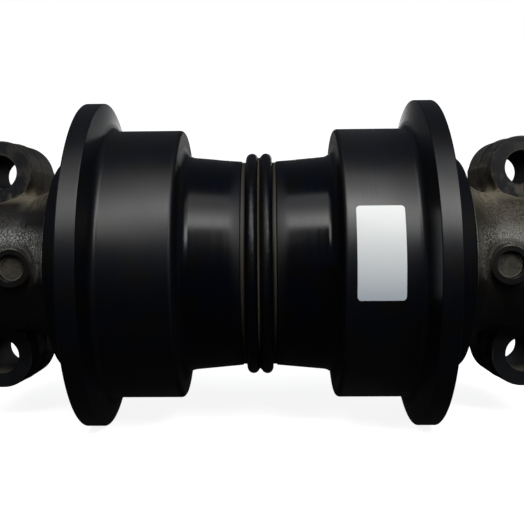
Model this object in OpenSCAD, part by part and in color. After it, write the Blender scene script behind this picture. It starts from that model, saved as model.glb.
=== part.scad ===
// Track roller of an excavator undercarriage: a forged roller with two treads and two
// outer flanges turns on a fixed shaft, which two bolted end collars carry.
//
// Frame: the shaft runs along Y and the origin is its middle. The flanges stand on the
// floor with +Z up. The bolt heads sit on the +X side, and the mounting faces look to -X.
// Every place "from the middle" is measured along Y, from the weld between the halves.

/* [Roller] */
// Length of the roller between its ends
roller_l = 227; // [222:1:236]
// Diameter of the treads that the track rails run on
tread_d = 156; // [150:1:164]
// Distance from the middle to the inner side of each tread
tread_start = 43; // [38:0.5:47]
// Diameter of the guide flanges
flange_d = 188; // [180:1:200]
// Width of each flange rim
rim_w = 10.4; // [9:0.2:12]
// How far the inner face of a flange leans inwards at its foot
flange_lean = 4.8; // [3:0.2:7]
// Diameter of the waist beside the weld
waist_d = 119.5; // [114:0.5:124]
// Diameter of the waist where it meets a tread
waist_foot_d = 125.5; // [120:0.5:130]
// Radius that rounds the inner corner of each tread
tread_round = 2.2; // [1:0.2:4]
// Radius of the fillets at the foot of a tread and of a flange
foot_fillet = 3; // [1.5:0.5:4]
// Chamfer on the outer edge of each flange rim
rim_chamfer = 0.5; // [0.25:0.25:3]
// Width of the shoulder, from the flange rim to the end of the roller
shoulder_w = 14.7; // [12:0.1:17]
// Height of the shoulder over the roller's end
shoulder_step = 6; // [4:0.5:9]
// Wall of the roller's end around the collar's rim
end_wall = 5.5; // [4:0.5:8]

/* [Weld flash] */
// Diameter over the two curls of metal that the friction weld pressed out
flash_d = 129; // [126:0.5:134]
// Width of each curl
flash_w = 7; // [5:0.5:8]
// Diameter at the bottom of the seam between the curls
seam_d = 123.4; // [121:0.2:125]
// Width of the groove beside each curl
groove_w = 2.2; // [1:0.2:4]

/* [Shaft and bushings] */
// Diameter of the shaft
shaft_d = 60; // [54:1:61]
// How far the ends of the shaft lie inside the ends of the collars
shaft_inset = 2; // [0:0.5:4]
// Chamfer on the ends of the shaft
shaft_chamfer = 2; // [1:0.5:4]
// Wall of the bushings, which are pressed into the roller
bushing_wall = 3.5; // [3:0.25:5]
// Length of each bushing over its flange
bushing_l = 45; // [36:1:50]
// How far the thrust flange of a bushing stands out from it
bushing_flange_h = 5; // [4:0.5:6]
// Thickness of the thrust flange of a bushing
bushing_flange_t = 5; // [3:0.5:6]
// Radial running clearance between shaft and bushing
running_clearance = 0.08; // [0.03:0.01:0.1]
// Side clearance between a bushing flange and its collar
side_clearance = 0.5; // [0.3:0.1:1]
// Depth of the oil chamber between the bushings, below their seats
chamber_depth = 2.5; // [1:0.5:6]

/* [Oil way] */
// Diameter of the oil gallery along the shaft
gallery_d = 8; // [5:0.5:10]
// Diameter of the feed hole from the gallery to the oil chamber
feed_d = 5; // [3:0.5:7]
// Diameter of the threaded port at the end of the gallery
port_d = 16; // [13:0.5:20]
// Depth of the threaded port below its recess
port_depth = 16; // [14:1:24]
// Diameter of the recess that takes the plug's head
recess_d = 27; // [25:0.5:32]
// Depth of that recess in the shaft's end
recess_depth = 7.5; // [7:0.5:10]
// Length of the plug's shank in the port
plug_l = 12; // [8:0.5:13]
// Diameter of the plug's head
plug_head_d = 24; // [22:0.5:24.5]
// Thickness of the plug's head
plug_head_t = 5; // [3.5:0.5:5.5]
// Width across the flats of the plug's hexagon socket
plug_key = 8; // [5:0.5:9]
// Thickness of the sealing washer under the plug's head
washer_t = 1.5; // [1:0.25:1.5]

/* [Floating seals] */
// Distance from the roller's end to the faces that the two seal rings run on
seal_inset = 14.5; // [13:0.25:16]
// Diameter of the seal housings in the roller and in the collars
housing_d = 98; // [94:0.5:102]
// Depth of each seal housing from the seal faces
housing_depth = 12; // [11:0.5:13]
// Thickness of the rubber ring between a metal seal ring and its housing
toric_cord_d = 5.9; // [5.4:0.1:6.2]
// Clearance on either side of the rubber ring
toric_gap = 0.05; // [0.03:0.01:0.1]
// Clearance between the lip of a metal seal ring and the housing
seal_lip_gap = 2.5; // [1.5:0.25:3.5]
// Width of the lip of a metal seal ring
seal_lip_w = 3; // [2:0.25:4]
// Width of a metal seal ring
seal_ring_w = 9; // [8.5:0.5:10]
// Wall of a metal seal ring behind its lip
seal_ring_wall = 3; // [2.5:0.25:4]
// Clearance between the metal seal rings and the nose of the collar
seal_ring_play = 3; // [2:0.25:3.5]
// Gap between the faces of a pair of seal rings, filled with oil
seal_gap = 0.04; // [0.02:0.01:0.1]
// Wall of the collar's rim around its seal housing
rim_wall = 4.5; // [3.5:0.25:6]
// Gap all round the collar's rim where it runs inside the roller's end
labyrinth_gap = 1; // [0.6:0.1:1.5]

/* [Collars] */
// Diameter of the collar's hub around the shaft
collar_hub_d = 80; // [77:1:86]
// How far the hub reaches outwards past the middle of the bolt holes
hub_reach = 17.6; // [14:0.2:20]
// Radius of the flare between rim and hub
flare_r = 20; // [17:0.5:22]
// Distance from the flare's end to the ears
flare_inset = 0.3; // [0.3:0.1:2]
// Chamfer at the outer end of the hub
collar_chamfer = 3; // [1:0.5:5]

/* [Mounting] */
// Distance from the lock pin to the bolt holes, along the shaft
bolt_step = 19.4; // [18:0.2:24]
// Distance from the shaft's axis to the bolt holes, across the shaft
bolt_z = 54.9; // [54:0.1:57]
// Diameter of the bolt holes
bolt_hole_d = 20; // [17:0.5:22]
// Distance from the shaft's axis to the flat mounting faces
mount_x = 50; // [46:1:54]
// Distance from the shaft's axis to the faces under the bolt heads
head_face_x = 0; // [-4:0.5:4]
// Diameter of the round pads under the bolt heads
pad_d = 37; // [34:0.5:38]
// How far the facing cutter clears around each pad
facing_gap = 1; // [0.5:0.25:2]
// Diameter of the rounded ears
ear_d = 39; // [38.5:0.5:42]
// Thickness of the ears
ear_t = 24; // [18:1:30]
// Height of the web between an ear and the hub, from the mounting face
web_t = 43; // [36:1:46]
// Distance from the shaft's axis to the inner edge of each mounting face
mount_inner_z = 34; // [28:1:38]
// Depth of the relief between the two mounting faces of a collar
mount_relief = 3; // [1:0.5:5]

/* [Lock pins] */
// Distance from the O-ring to the lock pin, along the shaft
pin_step = 14; // [12.5:0.5:16]
// Diameter of the lock pins
pin_d = 14.4; // [12:0.2:16]
// Clearance around a lock pin
pin_clearance = 0.1; // [0.05:0.05:0.2]
// Diameter of the boss around the pin hole
pin_boss_d = 21.4; // [20:0.2:26]
// How far the pin boss stands out from the hub
pin_boss_h = 5; // [3:0.5:8]
// How deep the pin's end lies below the face of its boss
pin_recess = 3.4; // [1:0.2:6]
// Diameter of the boss where the pin hole leaves the collar
pin_exit_d = 26; // [22:1:30]

/* [O-rings] */
// Distance from the floor of the seal housing to the O-ring on the shaft
oring_step = 10; // [6:0.5:11]
// Diameter of the O-ring's cord
oring_cord = 3; // [2.5:0.1:3.5]
// Width of the O-ring's groove
oring_groove_w = 4; // [3.6:0.1:5]

/* [Label] */
// Clearance between the label and the foot of the flange
label_outset = 9.6; // [6:0.1:15]
// Height of the label, measured round the tread
label_h = 49.4; // [30:1:60]
// Distance from the tread's inner edge to the label
label_inset = 6.5; // [3:0.5:8]
// How far the label's middle lies above the level of the shaft, in degrees
label_turn = 5.4; // [-20:0.2:30]
// Thickness of the label
label_t = 0.2; // [0.1:0.05:0.4]

/* [Hidden] */
$fn = 96;

paint = [0.06, 0.07, 0.08];
casting = [0.15, 0.15, 0.14];
steel = [0.62, 0.62, 0.60];
bronze = [0.72, 0.52, 0.28];
rubber = [0.08, 0.08, 0.08];
olive = [0.42, 0.40, 0.30];
copper = [0.72, 0.42, 0.28];
paper = [0.93, 0.94, 0.95];

// Small sizes that the pieces share
fit = 0.05;               // radial slip between shaft and collar
edge = 0.5;               // broken edge of a turned corner
end_chamfer = 1;          // chamfer at the roller's end
groove_depth = 0.4;       // depth of the groove beside a curl of flash
seam_gap = 0.3;           // distance from the seam to the foot of a curl
curl_from = -60;          // where the round of a curl starts and ends, in degrees
curl_to = 80;
lip_slope = 0.8;          // how far the back of a seal ring's lip slopes
toric_room = 0.5;         // room between a seal ring's lip and its rubber ring
key_below_head = 2;       // how far the hexagon socket reaches below the plug's head
web_inset = 2;            // how far the web stays inside the outer side of the pad
cut = 1;                  // how far a cutting tool runs past a face
arc_steps = 6;            // straight steps in each rounded corner of a profile
flare_steps = 10;         // straight steps in the collar's flare

// Radii, from the shaft outwards
tread_r = tread_d / 2;
flange_r = flange_d / 2;
shaft_r = shaft_d / 2;
bushing_r = shaft_r + bushing_wall;
bushing_flange_r = bushing_r + bushing_flange_h;
chamber_r = bushing_r + chamber_depth;
hub_r = collar_hub_d / 2;

// Radii that follow from the seal housing: inwards to the nose, outwards to the shoulder
housing_r = housing_d / 2;
toric_cord_r = toric_cord_d / 2;
toric_r = housing_r - toric_gap - toric_cord_r;
seal_tail_r = toric_r - toric_cord_r - toric_gap;
seal_lip_r = housing_r - seal_lip_gap;
seal_ring_r = seal_tail_r - seal_ring_wall;
nose_r = seal_ring_r - seal_ring_play;
rim_r = housing_r + rim_wall;
roller_end_r = rim_r + labyrinth_gap + end_wall;
shoulder_r = roller_end_r + shoulder_step;

// Places along the shaft, from the middle outwards
roller_end = roller_l / 2;
rim_end = roller_end - shoulder_w;
rim_start = rim_end - rim_w;
flange_foot = rim_start - flange_lean;
seal_face = roller_end - seal_inset;
roller_housing_floor = seal_face - housing_depth;
collar_housing_floor = seal_face + housing_depth;
roller_step = seal_face - labyrinth_gap / 2;
collar_front = seal_face + labyrinth_gap / 2;
bushing_start = roller_housing_floor - bushing_l;
bushing_seat = roller_housing_floor - bushing_flange_t;
nose_face = roller_housing_floor + side_clearance;
toric_from_face = seal_lip_w + toric_room + toric_cord_r;
oring_y = collar_housing_floor + oring_step;
pin_y = oring_y + pin_step;
bolt_y = pin_y + bolt_step;
flare_end = bolt_y - ear_d / 2 - flare_inset;
collar_end = bolt_y + hub_reach;
shaft_end = collar_end - shaft_inset;
port_mouth = shaft_end - recess_depth;

// Other sizes that follow
label_y = tread_start + label_inset;
label_w = flange_foot - label_outset - label_y;
pin_boss_x = hub_r + pin_boss_h;
facing_d = pad_d + 2 * facing_gap;

// Points of an arc about (r, y), from angle a to angle b
function arc(r, y, radius, a, b, steps = arc_steps) =
    [for (i = [0:steps]) let (t = a + (b - a) * i / steps)
        [r + radius * cos(t), y + radius * sin(t)]];

// Turns a profile of (radius, distance along the shaft) about the shaft's axis
module turned() {
    rotate([-90, 0, 0]) rotate_extrude() children();
}

// Turned ring between two radii and two distances along the shaft
module ring(inner_r, outer_r, y0, y1) {
    turned() translate([inner_r, y0]) square([outer_r - inner_r, y1 - y0]);
}

// Round bar or hole along X, at a distance y along the shaft and a height z
module bar_x(d, x0, x1, y = 0, z = 0) {
    translate([x0, y, z]) rotate([0, 90, 0]) cylinder(d = d, h = x1 - x0);
}

// The same piece at the left end, for a piece made at the right end
module at_left() {
    mirror([0, 1, 0]) children();
}

// ---- Roller ----

// Outside of one half of the roller, from the seam to its end
function shell_outside() =
    let (curl_r = flash_w / 2,
         curl_y = seam_gap + curl_r,
         groove_y = curl_y + curl_r,
         lean = atan((flange_r - tread_r) / flange_lean))
    concat(
        [[seam_d / 2, 0]],
        arc(flash_d / 2 - curl_r, curl_y, curl_r, curl_from, curl_to),
        [[waist_d / 2 - groove_depth, groove_y],
         [waist_d / 2 - groove_depth, groove_y + groove_w],
         [waist_d / 2, groove_y + groove_w + groove_depth]],
        arc(waist_foot_d / 2 + foot_fillet, tread_start - foot_fillet, foot_fillet, 180, 90),
        arc(tread_r - tread_round, tread_start + tread_round, tread_round, 270, 360),
        arc(tread_r + foot_fillet, flange_foot - foot_fillet * tan(lean / 2),
            foot_fillet, 180, 180 - lean),
        [[flange_r - edge, rim_start - flange_lean * edge / (flange_r - tread_r)],
         [flange_r, rim_start + edge],
         [flange_r, rim_end - rim_chamfer], [flange_r - rim_chamfer, rim_end]],
        arc(shoulder_r + foot_fillet, rim_end + foot_fillet, foot_fillet, 270, 180),
        [[roller_end_r + end_chamfer, roller_end - end_chamfer], [roller_end_r, roller_end]]);

// Inside of one half: labyrinth bore, seal housing, bushing seat and oil chamber
function shell_inside() = [
    [rim_r + labyrinth_gap, roller_end],
    [rim_r + labyrinth_gap, roller_step],
    [housing_r, roller_step],
    [housing_r, roller_housing_floor],
    [bushing_flange_r, roller_housing_floor],
    [bushing_flange_r, bushing_seat],
    [bushing_r, bushing_seat],
    [bushing_r, bushing_start],
    [chamber_r, bushing_start],
    [chamber_r, 0]
];

module shell_half() {
    color(paint) turned() polygon(concat(shell_outside(), shell_inside()));
}

module shell_right() { shell_half(); }
module shell_left() { at_left() shell_half(); }

module bushing() {
    color(bronze) difference() {
        union() {
            ring(shaft_r, bushing_r, bushing_start, roller_housing_floor);
            ring(shaft_r, bushing_flange_r, bushing_seat, roller_housing_floor);
        }
        ring(0, shaft_r + running_clearance, bushing_start - cut, roller_housing_floor + cut);
    }
}

module bushing_right() { bushing(); }
module bushing_left() { at_left() bushing(); }

module label() {
    // the label follows the tread, so its height is an angle about the shaft
    span = label_h / tread_r * 180 / PI;
    color(paper) rotate([-90, 0, 0]) rotate([0, 0, -label_turn - span / 2])
        rotate_extrude(angle = span)
            translate([tread_r + 0.02, label_y]) square([label_t, label_w]);
}

// ---- Seals, drawn for the right end ----

// Metal ring with its running face at y = 0 and its tail towards +Y
module seal_ring() {
    color(steel) turned() polygon([
        [seal_ring_r, 0], [seal_lip_r, 0], [seal_lip_r, seal_lip_w - lip_slope],
        [seal_tail_r, seal_lip_w], [seal_tail_r, seal_ring_w],
        [seal_ring_r, seal_ring_w]]);
}

// Rubber ring around the tail of the metal ring whose face is at y = 0
module toric() {
    color(rubber) turned() translate([toric_r, toric_from_face]) circle(r = toric_cord_r);
}

// A seal piece on the collar's side, and the same one turned round on the roller's side
module collar_side() { translate([0, seal_face + seal_gap / 2, 0]) children(); }
module roller_side() {
    translate([0, seal_face - seal_gap / 2, 0]) mirror([0, 1, 0]) children();
}

module collar_seal_right() { collar_side() seal_ring(); }
module collar_seal_left() { at_left() collar_side() seal_ring(); }
module roller_seal_right() { roller_side() seal_ring(); }
module roller_seal_left() { at_left() roller_side() seal_ring(); }
module collar_toric_right() { collar_side() toric(); }
module collar_toric_left() { at_left() collar_side() toric(); }
module roller_toric_right() { roller_side() toric(); }
module roller_toric_left() { at_left() roller_side() toric(); }

module shaft_oring() {
    color(rubber) turned() translate([shaft_r + fit + oring_cord / 2, oring_y])
        circle(d = oring_cord);
}

module shaft_oring_right() { shaft_oring(); }
module shaft_oring_left() { at_left() shaft_oring(); }

// ---- Shaft ----

module shaft() {
    color(steel) difference() {
        turned() polygon([
            [0, -shaft_end], [shaft_r - shaft_chamfer, -shaft_end],
            [shaft_r, -shaft_end + shaft_chamfer], [shaft_r, shaft_end - shaft_chamfer],
            [shaft_r - shaft_chamfer, shaft_end], [0, shaft_end]]);
        // gallery from the port at the right end to the feed hole in the middle
        ring(0, gallery_d / 2, -feed_d, port_mouth - port_depth + cut);
        ring(0, port_d / 2, port_mouth - port_depth, shaft_end);
        ring(0, recess_d / 2, port_mouth, shaft_end + cut);
        bar_x(feed_d, 0, shaft_r + cut);
        for (side = [-1, 1])
            bar_x(pin_d + 2 * pin_clearance, -shaft_r - cut, shaft_r + cut, side * pin_y);
    }
}

// Threaded plug with a hexagon socket; its head clamps the washer in the shaft's recess
module oil_plug() {
    seat = port_mouth + washer_t;
    color(steel) difference() {
        union() {
            ring(0, port_d / 2 - fit, port_mouth - plug_l, seat);
            ring(0, plug_head_d / 2, seat, seat + plug_head_t);
        }
        translate([0, seat + plug_head_t + cut, 0]) rotate([90, 0, 0])
            cylinder(d = plug_key / cos(30), h = plug_head_t + cut + key_below_head, $fn = 6);
    }
}

module plug_washer() {
    color(copper) ring(port_d / 2 + fit, plug_head_d / 2, port_mouth, port_mouth + washer_t);
}

module lock_pin() {
    color(olive) bar_x(pin_d, -mount_x + mount_relief + pin_recess,
        pin_boss_x - pin_recess, pin_y);
}

module lock_pin_right() { lock_pin(); }
module lock_pin_left() { at_left() lock_pin(); }

// ---- Collars ----

// Half section of the turned part: nose, seal housing, rim, flare and hub
function collar_section() =
    let (flare_centre_r = hub_r + flare_r,
         flare_start = acos((flare_centre_r - rim_r) / flare_r))
    concat(
        [[shaft_r + fit, nose_face], [nose_r, nose_face],
         [nose_r, collar_housing_floor], [housing_r, collar_housing_floor],
         [housing_r, collar_front], [rim_r - edge, collar_front], [rim_r, collar_front + edge]],
        arc(flare_centre_r, flare_end, flare_r, 180 + flare_start, 180, flare_steps),
        [[hub_r, collar_end - collar_chamfer], [hub_r - collar_chamfer, collar_end],
         [shaft_r + fit, collar_end]]);

// Outline of one ear seen along the bolt: round about the bolt, straight down to the hub
module ear_outline() {
    translate([bolt_y, bolt_z]) circle(d = ear_d);
    translate([bolt_y - ear_d / 2, 0]) square([ear_d, bolt_z]);
}

// Raises an outline drawn in (y, z) from the mounting face to a height along X
module from_mount(height) {
    translate([-mount_x, 0, 0]) rotate([90, 0, 90]) linear_extrude(height) children();
}

module collar() {
    color(casting) difference() {
        union() {
            turned() polygon(collar_section());
            for (flip = [0, 1]) mirror([0, 0, flip]) {
                from_mount(ear_t) ear_outline();
                bar_x(pad_d, -mount_x, head_face_x, bolt_y, bolt_z);
                // web from the ear down to the hub
                from_mount(web_t) translate([bolt_y - pad_d / 2, 0])
                    square([pad_d - web_inset, bolt_z]);
            }
            bar_x(pin_boss_d, 0, pin_boss_x, pin_y);
            bar_x(pin_exit_d, -mount_x + mount_relief, 0, pin_y);
        }
        // bore for the shaft, and the groove of its O-ring
        ring(0, shaft_r + fit, nose_face - cut, collar_end + ear_d);
        ring(shaft_r, shaft_r + fit + oring_cord + fit,
             oring_y - oring_groove_w / 2, oring_y + oring_groove_w / 2);
        // the faces that the bolt heads sit on, and the bolt holes
        for (z = [-bolt_z, bolt_z]) {
            bar_x(facing_d, head_face_x, hub_r + cut, bolt_y, z);
            bar_x(bolt_hole_d, -mount_x - cut, head_face_x + cut, bolt_y, z);
        }
        // relief between the two mounting faces
        translate([-mount_x - cut, roller_end, -mount_inner_z])
            cube([mount_relief + cut, collar_end + ear_d - roller_end, 2 * mount_inner_z]);
        bar_x(pin_d + 2 * pin_clearance, -mount_x - cut, pin_boss_x + cut, pin_y);
    }
}

module collar_right() { collar(); }
module collar_left() { at_left() collar(); }

shell_left();
shell_right();
bushing_left();
bushing_right();
shaft();
collar_left();
collar_right();
lock_pin_left();
lock_pin_right();
roller_seal_left();
roller_seal_right();
collar_seal_left();
collar_seal_right();
roller_toric_left();
roller_toric_right();
collar_toric_left();
collar_toric_right();
shaft_oring_left();
shaft_oring_right();
oil_plug();
plug_washer();
label();
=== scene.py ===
# %% [markdown]
# # Track roller of an excavator
# A bottom roller carries the machine on its track. A forged roller with two treads and
# two guide flanges turns on a fixed shaft, and two cast collars bolt the shaft to the
# frame. The packed model gives every piece its place; this lesson dresses it.

# %% Load the frame
import math
import bmesh
import bpy
import numpy as np
from mathutils import Matrix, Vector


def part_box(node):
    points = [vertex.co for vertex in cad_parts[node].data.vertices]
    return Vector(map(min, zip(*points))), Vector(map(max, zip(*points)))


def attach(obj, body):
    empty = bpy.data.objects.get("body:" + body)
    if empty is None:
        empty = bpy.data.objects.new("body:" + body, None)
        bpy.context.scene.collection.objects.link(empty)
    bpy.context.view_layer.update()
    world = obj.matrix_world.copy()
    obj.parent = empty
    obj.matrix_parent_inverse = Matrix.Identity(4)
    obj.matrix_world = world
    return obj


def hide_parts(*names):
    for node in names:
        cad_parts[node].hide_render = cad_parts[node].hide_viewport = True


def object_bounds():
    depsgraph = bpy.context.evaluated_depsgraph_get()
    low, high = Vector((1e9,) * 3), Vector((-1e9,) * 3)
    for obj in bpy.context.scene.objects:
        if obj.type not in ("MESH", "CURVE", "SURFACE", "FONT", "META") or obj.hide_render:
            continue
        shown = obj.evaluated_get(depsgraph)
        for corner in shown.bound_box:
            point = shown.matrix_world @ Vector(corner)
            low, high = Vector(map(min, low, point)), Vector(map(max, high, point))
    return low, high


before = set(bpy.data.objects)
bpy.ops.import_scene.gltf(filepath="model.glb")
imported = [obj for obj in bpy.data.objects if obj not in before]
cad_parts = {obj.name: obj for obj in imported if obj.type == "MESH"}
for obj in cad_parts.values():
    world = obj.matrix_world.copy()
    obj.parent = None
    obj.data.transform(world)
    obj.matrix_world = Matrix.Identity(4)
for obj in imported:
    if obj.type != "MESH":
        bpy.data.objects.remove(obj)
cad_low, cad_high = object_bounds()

MM = 0.001

# %% [markdown]
# ## Sizes
# All shapes below are worked out in millimetres from the sizes of the real roller, in
# the frame of the model: Y runs along the shaft, Z is up, X points to the bolt heads.
# A name that ends in R is a radius. One that ends in X, Y or Z is a place along that
# axis, given for the right half of the roller; the left half is its mirror image.

# %% Sizes of the roller, in millimetres
SEAM_R, CURL_R, CURL_MID_R = 61.6, 3.5, 60.8
CURL_Y = {-1: 3.8, 1: 4.2}  # the curl's middle, left and right half
GROOVE_R, GROOVE_Y = 59.1, (7.3, 9.5)
WAIST_R, WAIST_FOOT_R, WAIST_FILLET = 59.7, 62.7, 6.8
TREAD_R, TREAD_Y, FLANGE_FOOT_Y = 78.0, 43.0, 83.6
FLANGE_R, RIM_Y, RIM_CHAMFER = 94.0, (88.4, 98.8), 0.5
SHOULDER_R, END_R, END_Y = 66.0, 60.0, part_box("shell_right")[1][1] / MM
MOUTH_R, MOUTH_Y = 54.5, 98.5  # the recess that takes the collar's rim
SEAL_R, SEAL_Y = 49.0, 87.0  # the seal's housing, as wide in the collar
COUNTERBORE_R, COUNTERBORE_Y = 38.5, 82.0
BUSHING_R, BUSHING_END_Y = 33.5, 42.0
OIL_ROOM_R = 36.0
print("roller ends at", round(END_Y, 2), "mm; flange radius", FLANGE_R)

# %% Sizes of the collars, in millimetres
COLLAR_RIM_R, COLLAR_FRONT_Y, COLLAR_END_Y = 53.5, 99.5, 172.0
HUB_R, FLARE_R, FLARE_Y = 40.0, 20.0, 134.6
NOSE_R, NOSE_Y, SEAL_FLOOR_Y = 37.0, 87.5, 111.0
SHAFT_R, ORING_Y = 30.0, (119.0, 123.0)
BOLT_Y, BOLT_Z, BOLT_R = 154.4, 54.9, 10.0
PAD_R, FACING_R = 18.5, 19.5
EAR_R, EAR_END_Y = 19.1, 173.4
PIN_Y, PIN_R, PIN_BOSS_R, PIN_BOSS_X = 135.0, 7.2, 10.7, 45.0
MOUNT_X, ROUGH_X = -50.0, -54.0  # the mounting plane, and the casting before that cut
PARTING_X = -25.5  # where the two halves of the sand mould meet
WEB_SHIFT, WEB_HALF, WEB_X = 1.0, 17.5, -7.0  # the web from each ear down to the hub
EXIT_BOSS_R = 13.0  # the boss where the lock pin comes out
RELIEF_X, RELIEF_Y, RELIEF_Z = -47.0, 113.5, 34.0  # the mounting side stands back between the ears
print("mounting faces at", MOUNT_X, "mm; bolts", 2 * BOLT_Y, "by", 2 * BOLT_Z, "mm apart")

# %% [markdown]
# ## Camera
# A camera is a place, a direction and a lens. The lens is a short telephoto close to
# the roller, so the near faces of the flanges look larger than their far faces. It
# stands nearly square to the shaft and a little above it. The roller is round, so camera
# and lamps can be turned about the shaft together until the bolt ears are seen at the
# right slant, and the bands of light on the roller stay where they are.

# %% Camera
yaw, roll = -0.02455, 0.007835  # radians
raised = 0.0175  # radians about the shaft
shaft_seen = (6.7506, -13.862, -493.6)  # the shaft's middle from the lens: right, up, back, in mm
right = np.array([math.cos(roll) * math.sin(yaw), math.cos(roll) * math.cos(yaw), -math.sin(roll)])
up = np.array([math.sin(roll) * math.sin(yaw), math.sin(roll) * math.cos(yaw), math.cos(roll)])
back = np.array([math.cos(yaw), -math.sin(yaw), 0.0])
place = -(right * shaft_seen[0] + up * shaft_seen[1] + back * shaft_seen[2]) * MM


def about_shaft(vector):
    """Turns (x, y, z) by the angle raised about Y: x cos - z sin, y, x sin + z cos."""
    x, y, z = vector
    cos, sin = math.cos(raised), math.sin(raised)
    return np.array([x * cos - z * sin, y, x * sin + z * cos])


right, up, back, place = (about_shaft(v) for v in (right, up, back, place))
camera = bpy.data.objects.new("camera", bpy.data.cameras.new("camera"))
bpy.context.scene.collection.objects.link(camera)
matrix = np.eye(4)
matrix[:3, 0], matrix[:3, 1], matrix[:3, 2], matrix[:3, 3] = right, up, back, place
camera.matrix_world = Matrix(matrix.tolist())
camera.data.sensor_width, camera.data.lens = 36.0, 57.3  # millimetres
camera.data.shift_x, camera.data.shift_y = 0.0261, -0.0432
camera.data.clip_start, camera.data.clip_end = 0.01, 50.0
bpy.context.scene.camera = camera
print("camera at", [round(float(v), 3) for v in place])

# %% [markdown]
# ## Shader maths as Python
# A Blender material is a graph of nodes. Typing out each node and link hides the idea,
# so one small class wraps a socket and lets a mask be written as an expression, such as
# `dust * (1 - worn)`. Another holds the graph and makes any node in one call.

# %% Socket arithmetic
def maths(operation, swapped=False):
    """A method that adds one Math node; swapped puts the other value before the wire."""
    def add_node(wire, *others):
        values = (*others, wire) if swapped else (wire, *others)
        return wire.graph.node("ShaderNodeMath", {"operation": operation}, dict(enumerate(values)))
    return add_node


class Wire:
    """A node's output that takes part in Python arithmetic by adding Math nodes."""

    __add__ = __radd__ = maths("ADD")
    __mul__ = __rmul__ = maths("MULTIPLY")
    __sub__ = maths("SUBTRACT")
    __rsub__ = maths("SUBTRACT", swapped=True)
    __pow__ = maths("POWER")
    __abs__ = maths("ABSOLUTE")
    top = maths("MAXIMUM")
    low = maths("MINIMUM")

    def __init__(self, graph, socket):
        self.graph, self.socket = graph, socket

    def ramp(self, start, end, first=0.0, last=1.0):
        """Eases from first to last while this value goes from start to end."""
        return self.graph.node("ShaderNodeMapRange", {"interpolation_type": "SMOOTHSTEP"},
                               {0: self, 1: start, 2: end, 3: first, 4: last})

    def near(self, middle, half_width, soft):
        """1 within half_width of middle, easing to 0 over soft beyond it."""
        return abs(self - middle).ramp(half_width, half_width + soft, 1.0, 0.0)


print("wires also have:", [name for name in vars(Wire) if not name.startswith("__")])


# %% Graphs and materials
class Graph:
    """A node tree whose nodes are all made by one method."""

    def __init__(self, tree):
        self.tree = tree

    def feed(self, socket, value):
        """Links a wire to a socket, or sets the socket to a constant."""
        if isinstance(value, Wire):
            self.tree.links.new(value.socket, socket)
        elif socket.type == "RGBA":
            socket.default_value = (*value, 1.0)
        else:
            socket.default_value = value

    def node(self, kind, settings=(), inputs=(), out=0):
        """Makes one node: its settings first, then its inputs, then wraps output out."""
        made = self.tree.nodes.new(kind)
        for key, value in dict(settings).items():
            setattr(made, key, value)
        for key, value in dict(inputs).items():
            self.feed(made.inputs[key], value)
        return Wire(self, made.outputs[out]) if made.outputs else None

    def white_rays(self, glow, in_gloss):
        """Two wires: one is 1 for camera rays and rays through clear things, the other is glow for
        these and in_gloss for glossy rays. Both are 0 for all other rays."""
        camera_ray, clear_ray, glossy_ray = (self.node("ShaderNodeLightPath", out=f"Is {kind} Ray")
                                             for kind in ("Camera", "Transmission", "Glossy"))
        seen = camera_ray.top(clear_ray)
        return seen, (seen * glow).top(glossy_ray * in_gloss)


class Finish(Graph):
    """A material whose Principled shader takes constants and wires by socket name."""

    def __init__(self, name, **sockets):
        self.material = bpy.data.materials.new(name)
        self.material.use_nodes = True
        super().__init__(self.material.node_tree)
        self.set(**sockets)

    def set(self, **sockets):
        """Fills sockets of the Principled shader; Base_Color stands for Base Color."""
        shader = self.tree.nodes["Principled BSDF"]
        for name, value in sockets.items():
            self.feed(shader.inputs[name.replace("_", " ")], value)

    def point(self):
        """The point on the object, in millimetres, as one vector wire."""
        point = self.node("ShaderNodeTexCoord", out="Object")
        return self.node("ShaderNodeVectorMath", {"operation": "SCALE"}, {0: point, "Scale": 1 / MM})

    def parts(self, vector):
        """The x, y and z of a vector."""
        return [self.node("ShaderNodeSeparateXYZ", inputs={0: vector}, out=i) for i in range(3)]

    def join(self, x, y, z):
        """The vector (x, y, z)."""
        return self.node("ShaderNodeCombineXYZ", inputs={0: x, 1: y, 2: z})

    def facing_up(self):
        """The upward share of the surface's direction: 1 on a floor, 0 on a wall."""
        return self.parts(self.node("ShaderNodeTexCoord", out="Normal"))[2]

    def stored(self, name):
        """A value that is stored on the points of the mesh."""
        return self.node("ShaderNodeAttribute", {"attribute_name": name}, out="Fac")

    def noise(self, vector, scale, detail=2.0, rough=0.5, warp=0.0):
        """Smooth noise from 0 to 1; scale is in cycles for each unit of vector."""
        return self.node("ShaderNodeTexNoise", (), {"Vector": vector, "Scale": scale,
                         "Detail": detail, "Roughness": rough, "Distortion": warp})

    def colour(self, mask, first, second):
        """The first colour where mask is 0, the second one where it is 1."""
        return self.node("ShaderNodeMix", {"data_type": "RGBA"}, {0: mask, 6: first, 7: second}, out=2)

    def bump(self, height, distance, after=None):
        """Turns height, from 0 to 1, into a dent of distance millimetres, on top of the bump after."""
        inputs = {"Height": height, "Distance": distance * MM, "Strength": 1.0}
        if after is not None:
            inputs["Normal"] = after
        return self.node("ShaderNodeBump", (), inputs)


print("graph and finish ready")

# %% [markdown]
# ## Floor, backdrop and light
# The roller stands on a plain white floor before a low white backdrop. They look white
# to the camera and through clear things, and glossy rays see the same white, weakened,
# because satin black paint would mirror a full white room as grey. The light that they
# throw back on the roller comes from a much darker colour, so the paint stays black
# below, as it does over a dark workshop floor. The floor still takes a shadow. The
# world does the same: white to the camera, and a faint blue fill light to all else.

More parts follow.
